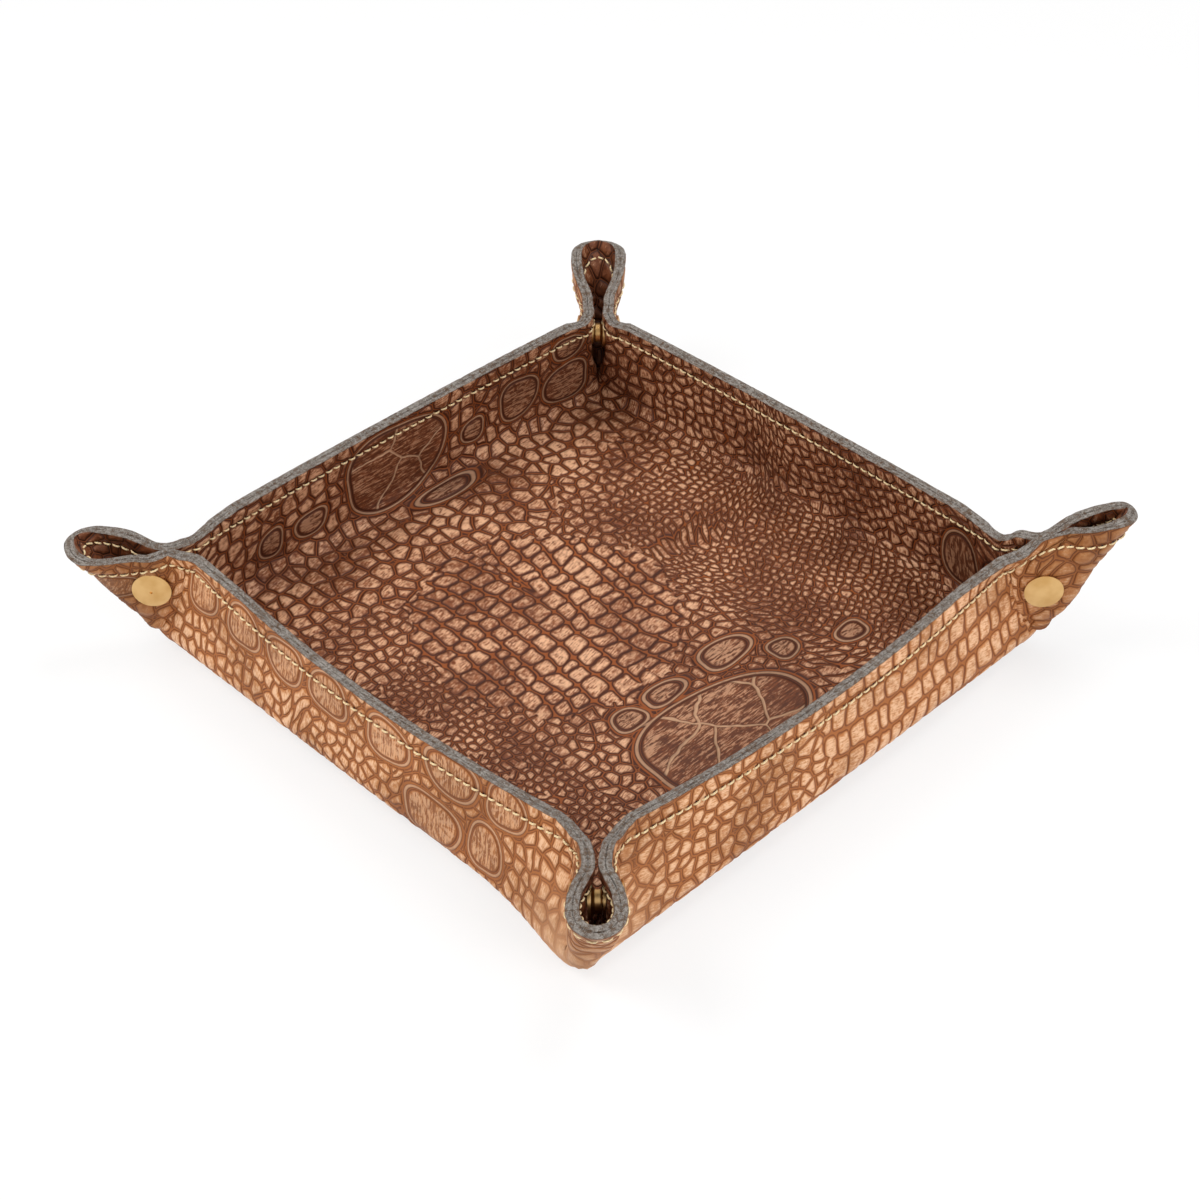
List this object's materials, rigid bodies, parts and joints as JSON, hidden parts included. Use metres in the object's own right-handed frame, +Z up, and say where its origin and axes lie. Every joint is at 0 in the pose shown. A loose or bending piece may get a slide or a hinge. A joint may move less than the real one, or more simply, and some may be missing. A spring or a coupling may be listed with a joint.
{
  "type": "valet tray",
  "caption": "Shallow square catch-all tray of crocodile-embossed leather, lined and sewn round its edge, with the corners pinched into upturned loops by brass snap fasteners.",
  "frame": {"origin": "centre of the underside, on the plane that the tray stands on", "axes": "+Z up out of the open top; the walls face +X, +Y, -X and -Y and the corner loops lie on the diagonals, the front one between +X and -Y"},
  "size_m": [0.2426, 0.2426, 0.0521],
  "materials": {
    "outer_leather": "glazed embossed tan",
    "inner_leather": "embossed reddish brown, dusty on the scales",
    "thread": "matt cream waxed thread",
    "snap_brass": "satin"
  },
  "bodies": {
    "tray": {"outer_leather": "outer_leather", "inner_leather": "inner_leather", "needle_thread": "thread", "bobbin_thread": "thread", "socket_cap_front": "snap_brass", "socket_cap_right": "snap_brass", "socket_cap_back": "snap_brass", "socket_cap_left": "snap_brass", "socket_front": "snap_brass", "socket_right": "snap_brass", "socket_back": "snap_brass", "socket_left": "snap_brass"},
    "ear_front": {"outer_ear_front": "outer_leather", "inner_ear_front": "inner_leather", "needle_thread_front": "thread", "bobbin_thread_front": "thread", "stud_cap_front": "snap_brass", "stud_front": "snap_brass"},
    "ear_right": {"outer_ear_right": "outer_leather", "inner_ear_right": "inner_leather", "needle_thread_right": "thread", "bobbin_thread_right": "thread", "stud_cap_right": "snap_brass", "stud_right": "snap_brass"},
    "ear_back": {"outer_ear_back": "outer_leather", "inner_ear_back": "inner_leather", "needle_thread_back": "thread", "bobbin_thread_back": "thread", "stud_cap_back": "snap_brass", "stud_back": "snap_brass"},
    "ear_left": {"outer_ear_left": "outer_leather", "inner_ear_left": "inner_leather", "needle_thread_left": "thread", "bobbin_thread_left": "thread", "stud_cap_left": "snap_brass", "stud_left": "snap_brass"}
  },
  "joints": [
    {"name": "snap_front", "type": "hinge", "parent": "tray", "child": "ear_front", "pos_m": [0.09974, -0.09974, 0.00103], "axis": [-0.3428, 0.3428, -0.8746], "range_deg": [0, 20]},
    {"name": "snap_right", "type": "hinge", "parent": "tray", "child": "ear_right", "pos_m": [0.09974, 0.09974, 0.00103], "axis": [-0.3428, -0.3428, -0.8746], "range_deg": [0, 20]},
    {"name": "snap_back", "type": "hinge", "parent": "tray", "child": "ear_back", "pos_m": [-0.09974, 0.09974, 0.00103], "axis": [0.3428, -0.3428, -0.8746], "range_deg": [0, 20]},
    {"name": "snap_left", "type": "hinge", "parent": "tray", "child": "ear_left", "pos_m": [-0.09974, -0.09974, 0.00103], "axis": [0.3428, 0.3428, -0.8746], "range_deg": [0, 20]}
  ]
}
